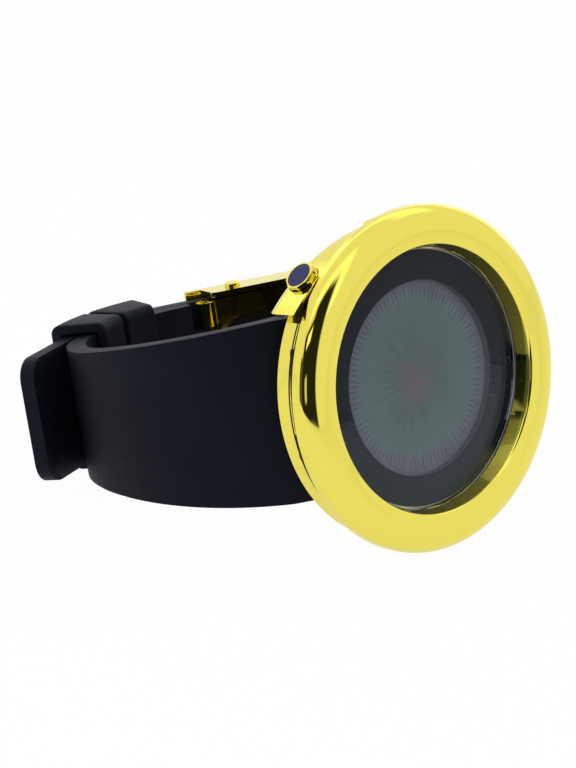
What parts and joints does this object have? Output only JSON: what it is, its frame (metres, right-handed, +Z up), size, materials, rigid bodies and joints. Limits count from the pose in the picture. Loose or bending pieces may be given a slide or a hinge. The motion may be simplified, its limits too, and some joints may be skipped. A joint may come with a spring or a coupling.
{
  "type": "digital wristwatch",
  "caption": "Round digital wristwatch with a polished gold-coloured bezel, side push buttons and a black rubber strap closed by a lidded folding-plate clasp.",
  "frame": {"origin": "middle of the back cover's outer face", "axes": "the watch lies on its side as pictured: +Z up from the ground, +X towards six o'clock, the dial faces -Y and tips up by the lean of the loop"},
  "size_m": [0.0638, 0.0635, 0.0479],
  "materials": {
    "gold_plated_steel": "mirror polished, gold plated",
    "mineral_crystal": "polished mineral glass",
    "black_seal": "moulded seal",
    "black_print": "dark printed film",
    "liquid_crystal": "satin polariser film",
    "white_moulding": "moulded",
    "circuit_board": "solder mask",
    "cell_steel": "nickel plated",
    "buzzer_brass": "plain",
    "blue_stone": "polished opaque stone",
    "spring_steel": "drawn wire",
    "strap_rubber": "matte moulded rubber"
  },
  "bodies": {
    "watch": {"bezel": "gold_plated_steel", "crystal": "mineral_crystal", "crystal_gasket": "black_seal", "dial_mask": "black_print", "display_cell": "liquid_crystal", "display_connectors": "black_seal", "module_frame": "white_moulding", "circuit_board": "circuit_board", "coin_cell": "cell_steel", "cell_clip": "cell_steel", "buzzer_disc": "buzzer_brass", "case_middle": "gold_plated_steel", "back_cover": "gold_plated_steel", "back_gasket": "black_seal", "back_screws": "gold_plated_steel", "button_1_spring": "spring_steel", "button_2_spring": "spring_steel", "strap_short": "strap_rubber", "strap_long": "strap_rubber", "strap_bar_short": "spring_steel", "strap_bar_long": "spring_steel", "fixed_loop": "strap_rubber", "clasp_base": "gold_plated_steel", "clasp_stud": "gold_plated_steel", "clasp_bar": "spring_steel", "clasp_hinge_pin": "gold_plated_steel"},
    "button_1": {"button_1": "gold_plated_steel", "button_1_stone": "blue_stone", "button_1_clip": "spring_steel"},
    "button_2": {"button_2": "gold_plated_steel", "button_2_stone": "blue_stone", "button_2_clip": "spring_steel"},
    "clasp_lid": {"clasp_lid": "gold_plated_steel"},
    "catch_1": {"catch_1": "gold_plated_steel"},
    "catch_2": {"catch_2": "gold_plated_steel"},
    "free_loop": {"free_loop": "strap_rubber"}
  },
  "joints": [
    {"name": "button_1_press", "type": "slide", "parent": "watch", "child": "button_1", "axis": [0.6691, -0.1775, -0.7216], "range_m": [0, 0.0006], "stiffness_N_per_m": 1500, "springref_m": -0.0002, "deforming": ["button_1_spring"]},
    {"name": "button_2_press", "type": "slide", "parent": "watch", "child": "button_2", "axis": [-0.6691, -0.1775, -0.7216], "range_m": [0, 0.0006], "stiffness_N_per_m": 1500, "springref_m": -0.0002, "deforming": ["button_2_spring"]},
    {"name": "clasp_lid_hinge", "type": "hinge", "parent": "watch", "child": "clasp_lid", "pos_m": [0.02473, 0.0255, -0.00627], "axis": [0, -0.2388, -0.9711], "range_deg": [0, 100]},
    {"name": "catch_1_press", "type": "slide", "parent": "clasp_lid", "child": "catch_1", "axis": [0, -0.2388, -0.9711], "range_m": [0, 0.0004], "stiffness_N_per_m": 1200, "springref_m": -0.0002},
    {"name": "catch_2_press", "type": "slide", "parent": "clasp_lid", "child": "catch_2", "axis": [0, 0.2388, 0.9711], "range_m": [0, 0.0004], "stiffness_N_per_m": 1200, "springref_m": -0.0002},
    {"name": "free_loop_slide", "type": "hinge", "parent": "watch", "child": "free_loop", "pos_m": [-0.0136, 0.02204, -0.00542], "axis": [0, -0.2388, -0.9711], "range_deg": [-1.5, 4]}
  ]
}
